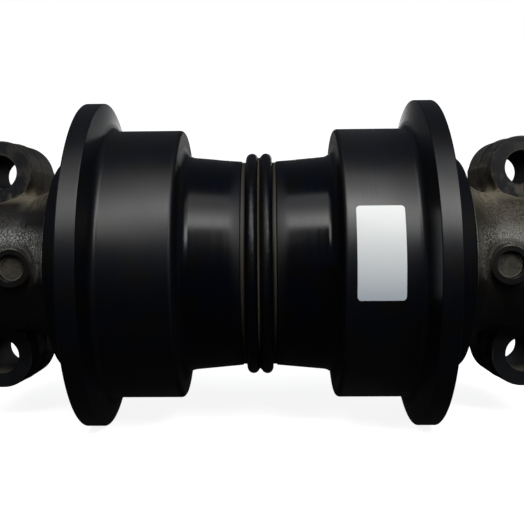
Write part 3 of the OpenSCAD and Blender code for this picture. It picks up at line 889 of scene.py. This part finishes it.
def mirrored(piece, name):
    """The same piece at the left end: y changes sign, so each face's corners run backwards."""
    form = bmesh.new()
    form.from_mesh(piece.data)
    for vertex in form.verts:
        vertex.co.y = -vertex.co.y
    bmesh.ops.reverse_faces(form, faces=form.faces)
    mesh = piece.data.copy()
    form.to_mesh(mesh)
    form.free()
    twin = bpy.data.objects.new(name, mesh)
    bpy.context.scene.collection.objects.link(twin)
    return twin


pad_face = machined(np.array([[0.0, BOLT_Y + BOLT_R + 3, BOLT_Z]]), np.array([[1.0, 0.0, 0.0]]))
print("a face on a bolt pad is found as machined:", bool(pad_face[0]))

# %% [markdown]
# ## Rough casting and machined pads
# The casting has been blasted and painted thinly: a dark sandy skin. On the hubs, pale
# flecks in a band round the middle, most on the left, are painted highlights. Pale dust
# lies where a surface faces straight up or two bodies meet, in streaks on the ears, and
# as a thin film on the upper half of the hubs. A brown without dust fills the corner round
# the pin boss, and the crevices of the ears turn brown: painted shade. The machined faces
# are smoother and blue-black, with dust along their edges and on the bottom of each hole.
# The holes are painted darker, as shade, and the boss face is dark too. The upper edge of
# the pin boss is pale, partly dust and partly a painted highlight.

# %% Finish of the cast skin
# The second colour is painted shade: the brown of the dust-free corner round the pin boss and of the ears'
# crevices.
PALE_DUST, BROWN_SHADE = (0.150, 0.130, 0.092), (0.011, 0.007, 0.004)


def sandy_casting():
    """Black sandy skin, with masks for dust, for brown painted shade in the crevices and for pale flecks
    that are painted highlights.
    """
    cast = Finish("collar_casting", IOR=1.5)
    point = cast.point()
    x, y, z = cast.parts(point)
    side, out, up = abs(z), abs(y), cast.facing_up()
    crevice, edge = cast.stored("crevice"), cast.stored("cut_edge")
    sand, lumps = cast.noise(point, 0.95, 3.0, 0.68, 0.3), cast.noise(point, 0.17, 2.0, 0.5)
    cloud = cast.noise(point, 0.05, 3.0, 0.6)
    streak = cast.noise(cast.join(x * 0.25, y, z * 0.5), 0.35, 3.0, 0.6)
    glint = cast.noise(cast.join(x, y * 1.2 + z * 0.5, z * 0.8 - y * 0.3), 1.25, 2.0, 0.6)

    on_ear = side.ramp(35.0, 42.0)
    pin_r = ((out - PIN_Y) ** 2 + z * z) ** 0.5
    # Painted shade: the corner round the pin boss is kept free of dust and turns brown.
    corner = pin_r.ramp(16.5, 12.5) * crevice.ramp(0.05, 0.35)
    shelf = (up.ramp(0.86, 0.99) * side.ramp(22.0, 34.0)
             + crevice.ramp(0.30, 0.60) * side.ramp(30.0, 38.0) * z.ramp(48.0, 41.0))
    film = (y.ramp(-60.0, 60.0, 0.05, 0.34) * (1 - on_ear) * sand.ramp(0.36, 0.62, 0.35, 1.5)
            * z.ramp(-14.0, 6.0)) * cloud.ramp(0.3, 0.6, 0.5, 0.95)
    pale = on_ear * streak.ramp(0.52, 0.66) * y.ramp(-40.0, 40.0, 0.12, 0.40) * z.ramp(-5.0, 25.0)
    on_flare = out.ramp(139.0, 131.0) * z.ramp(29.0, 38.0) * streak.ramp(0.35, 0.6, 0.4, 1.0)
    dust = (shelf * (0.35 + sand * 0.9) + film + pale + on_flare * 0.7 + edge * 0.25).low(1.0)
    dust = (dust * (1 - corner)).low(1.0)
    # Painted highlights: pale flecks in a band round the middle of the hubs, most on the left.
    painted_glints = (glint.ramp(0.47, 0.64) * z.ramp(-9.0, 1.0) * z.ramp(24.0, 15.0) * y.ramp(60.0, -60.0, 0.4, 1.0)
              * cloud.ramp(0.30, 0.55, 0.45, 1.0) * (1 - corner))

    black = cast.colour(cloud.ramp(0.4, 0.7), (0.0040, 0.0040, 0.0050), (0.0085, 0.0070, 0.0055))
    # Painted shade: brown in that corner and in the crevices of the ears.
    crevice_shade = cast.colour((corner + on_ear * crevice.ramp(0.05, 0.5)).low(1.0), black, BROWN_SHADE)
    dusty = cast.colour(dust, crevice_shade, PALE_DUST)
    cast.set(Base_Color=cast.colour(painted_glints * 0.9, dusty, (0.52, 0.53, 0.50)))
    dull = (on_ear * z.ramp(10.0, -10.0, 0.30, 0.5)).top(corner * 0.3)
    cast.set(Roughness=0.34 + (sand - 0.5) * 0.30 + dust * 0.40 + dull)
    cast.set(Normal=cast.bump(sand, 0.26, after=cast.bump(lumps, 0.30)))
    return cast


cast_finish = sandy_casting()
print("nodes in the casting's finish:", len(cast_finish.tree.nodes))


# %% Finish of the machined faces
def machined_casting():
    """Blue-black paint on cut faces: pads, bolt holes and the pin boss each have their dust; the holes are
    darker as painted shade, and the upper edge of the boss is pale as dust and painted highlight.
    """
    cut = Finish("collar_machined", IOR=1.45)
    point = cut.point()
    x, y, z = cut.parts(point)
    side, out, up = abs(z), abs(y), cut.facing_up()
    bolt_r = ((out - BOLT_Y) ** 2 + (side - BOLT_Z) ** 2) ** 0.5
    pin_r = ((out - PIN_Y) ** 2 + z * z) ** 0.5
    rings = cut.noise(cut.join(bolt_r, x, 0.0), 1.3, 2.0)
    cloud, grain = cut.noise(point, 0.085, 3.0, 0.6), cut.noise(point, 0.9, 3.0, 0.65)

    pad = bolt_r.ramp(FACING_R + 0.8, FACING_R + 0.2) * x.ramp(-0.6, -0.2)
    to_hub = (side - BOLT_Z).ramp(4.0, -15.0)
    rim = pad * bolt_r.ramp(FACING_R - 1.5, FACING_R - 0.3) * (0.12 + to_hub * 0.9)
    smear = pad * cloud.ramp(0.50, 0.64) * z.ramp(0.0, 40.0) * (0.10 + to_hub * 0.35)
    lip = bolt_r.near(BOLT_R + 0.35, 0.3, 0.2) * x.ramp(-1.0, -0.4) * z.ramp(BOLT_Z - 4, BOLT_Z + 8) * 0.4
    hole = bolt_r.ramp(BOLT_R + 0.8, BOLT_R + 0.3) * x.ramp(-0.3, -0.8)
    hole_dust = hole * up.ramp(0.80, 0.97) * x.ramp(-32.0, -12.0) * 0.7
    # Partly dust, partly a painted highlight: a pale mark on the upper edge of the pin boss.
    boss_lip = pin_r.near(PIN_BOSS_R, 0.3, 0.35) * up.ramp(-0.1, 0.4)
    boss_edge_dust_and_highlight = x.ramp(PIN_BOSS_X - 1.4, PIN_BOSS_X - 0.9) * boss_lip
    dust = ((rim + smear + lip + hole_dust + boss_edge_dust_and_highlight * 0.5) * (0.45 + grain * 0.9)).low(1.0)

    blue = cut.colour(cloud.ramp(0.35, 0.65), (0.0050, 0.0060, 0.0095), (0.0085, 0.0090, 0.0105))
    # Painted shade: the bolt holes and the pin hole are darker; the boss face is dark in its own right.
    hole_shade_or_boss = hole.top(pin_r.ramp(PIN_BOSS_R + 2, PIN_BOSS_R + 1))
    dark = cut.colour(hole_shade_or_boss, blue, (0.0026, 0.0022, 0.0024))
    cut.set(Base_Color=cut.colour(dust, dark, PALE_DUST))
    cut.set(Roughness=0.37 + (cloud - 0.5) * 0.16 + (grain - 0.5) * 0.12 + dust * 0.3 + hole * 0.42)
    cut.set(Normal=cut.bump(rings, 0.02, after=cut.bump(grain, 0.06)))
    return cut


cut_finish = machined_casting()
print("cut faces:", finish_collar(collar_right, cast_finish, cut_finish))
collar_left = mirrored(collar_right, "collar_left_cast")
for collar, word in ((collar_left, "left"), (collar_right, "right")):
    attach(collar, "axle")
    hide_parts("collar_" + word)

# %% [markdown]
# ## Lock pins
# A pin passes through a collar and the shaft and stops both from turning. Its end lies
# a few millimetres below the face of the boss. It is one more turned solid, this time
# about a line along X: a chamfer, a faint dish, and a skin of oil and grit.

# %% Lock pins
def pin_finish():
    """Dull zinc under oil and dust, brighter on the chamfer, where handling wears it."""
    zinc = Finish("pin_zinc", IOR=1.5)
    point = zinc.point()
    x, y, z = zinc.parts(point)
    r = ((abs(y) - PIN_Y) ** 2 + z * z) ** 0.5
    cloud, grain = zinc.noise(point, 0.25, 3.0, 0.6), zinc.noise(point, 1.8, 3.0, 0.6)
    worn = r.near(PIN_R - 0.35, 0.35, 0.2) * (0.55 + grain * 0.9).low(1.0)
    grime = (cloud * 0.5 + grain * 0.5).ramp(0.40, 0.62)
    film = zinc.colour(grime, (0.018, 0.015, 0.010), (0.054, 0.047, 0.034))
    zinc.set(Base_Color=zinc.colour(worn, film, (0.42, 0.39, 0.32)), Metallic=worn * 0.6)
    zinc.set(Roughness=0.52 + (grain - 0.5) * 0.2 - worn * 0.15)
    zinc.set(Normal=zinc.bump(grain, 0.10, after=zinc.bump(cloud, 0.3)))
    return zinc


low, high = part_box("lock_pin_right")
inner, outer = low[0] / MM, high[0] / MM
pin_profile = [
    (0, inner), (PIN_R - 0.8, inner), (PIN_R, inner + 0.8), (PIN_R, outer - 0.8),
    (PIN_R - 0.12, outer - 0.4), (PIN_R - 0.8, outer), (PIN_R - 1.3, outer - 0.06),
    (3.0, outer - 0.16), (0, outer - 0.22)]
zinc_finish = pin_finish()
for side, word in ((-1, "left"), (1, "right")):
    pin = turned_solid("pin_" + word, pin_profile, side * PIN_Y)
    pin.data.materials.append(zinc_finish.material)
    pin.data.set_sharp_from_angle(angle=math.radians(25))
    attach(pin, "axle")
    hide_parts("lock_pin_" + word)
    print(pin.name, len(pin.data.polygons), "faces")

# %% [markdown]
# ## Finishes of the packed solids
# The shaft, its plug and washer, the bushings, the metal seal rings and the rubber rings
# keep the shapes of the packed model. The metal ones get finishes that read the same
# turning pattern, and the rubber rings a matt black. The shaft and the plug were
# oversprayed when the roller was painted.

# %% Finishes for the solids that stay
def turned_metal(name, colour, roughness, ring_depth, overspray=0.0):
    """Bare turned metal with fine rings; overspray is the share hidden by thin black paint."""
    metal = Finish(name, IOR=1.5, Metallic=1.0)
    point = metal.point()
    rings, cloud = turning_rings(metal, point, 0.5, 0.3), metal.noise(point, 0.12, 4.0, 0.65)
    tone = metal.colour(cloud.ramp(0.35, 0.7), colour, tuple(c * 0.72 for c in colour))
    rough = roughness + (rings - 0.5) * 0.12
    if overspray:
        covered = cloud.ramp(0.62 - overspray * 0.3, 0.70 - overspray * 0.3)
        tone, rough = metal.colour(covered, tone, (0.012, 0.012, 0.013)), rough + covered * 0.2
        metal.set(Metallic=1.0 - covered)
    metal.set(Base_Color=tone, Roughness=rough, Normal=metal.bump(rings, ring_depth))
    return metal


def rubber():
    """Matt black rubber with a faint bloom."""
    black = Finish("seal_rubber", IOR=1.5)
    point = black.point()
    bloom = black.noise(point, 0.3, 3.0, 0.6)
    black.set(Base_Color=black.colour(bloom.ramp(0.4, 0.7), (0.012, 0.012, 0.012), (0.024, 0.024, 0.023)))
    black.set(Roughness=0.55 + bloom * 0.15, Normal=black.bump(black.noise(point, 2.5, 2.0), 0.02))
    return black


solid_finishes = {
    "shaft": turned_metal("shaft_steel", (0.50, 0.49, 0.47), 0.34, 0.02, 0.35),
    "oil_plug": turned_metal("plug_steel", (0.16, 0.16, 0.165), 0.40, 0.01, 0.5),
    "plug_washer": turned_metal("washer_copper", (0.62, 0.29, 0.17), 0.32, 0.01)}
paired_finishes = {
    ("bushing",): turned_metal("bushing_bronze", (0.56, 0.36, 0.15), 0.30, 0.01),
    ("roller_seal", "collar_seal"): turned_metal("seal_iron", (0.36, 0.35, 0.34), 0.26, 0.005),
    ("roller_toric", "collar_toric", "shaft_oring"): rubber()}
for names, finish in paired_finishes.items():
    solid_finishes |= {f"{name}_{word}": finish for name in names for word in ("left", "right")}
for name, finish in solid_finishes.items():
    for material_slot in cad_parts[name].material_slots:
        material_slot.material = finish.material
print("finished solids:", len(solid_finishes))
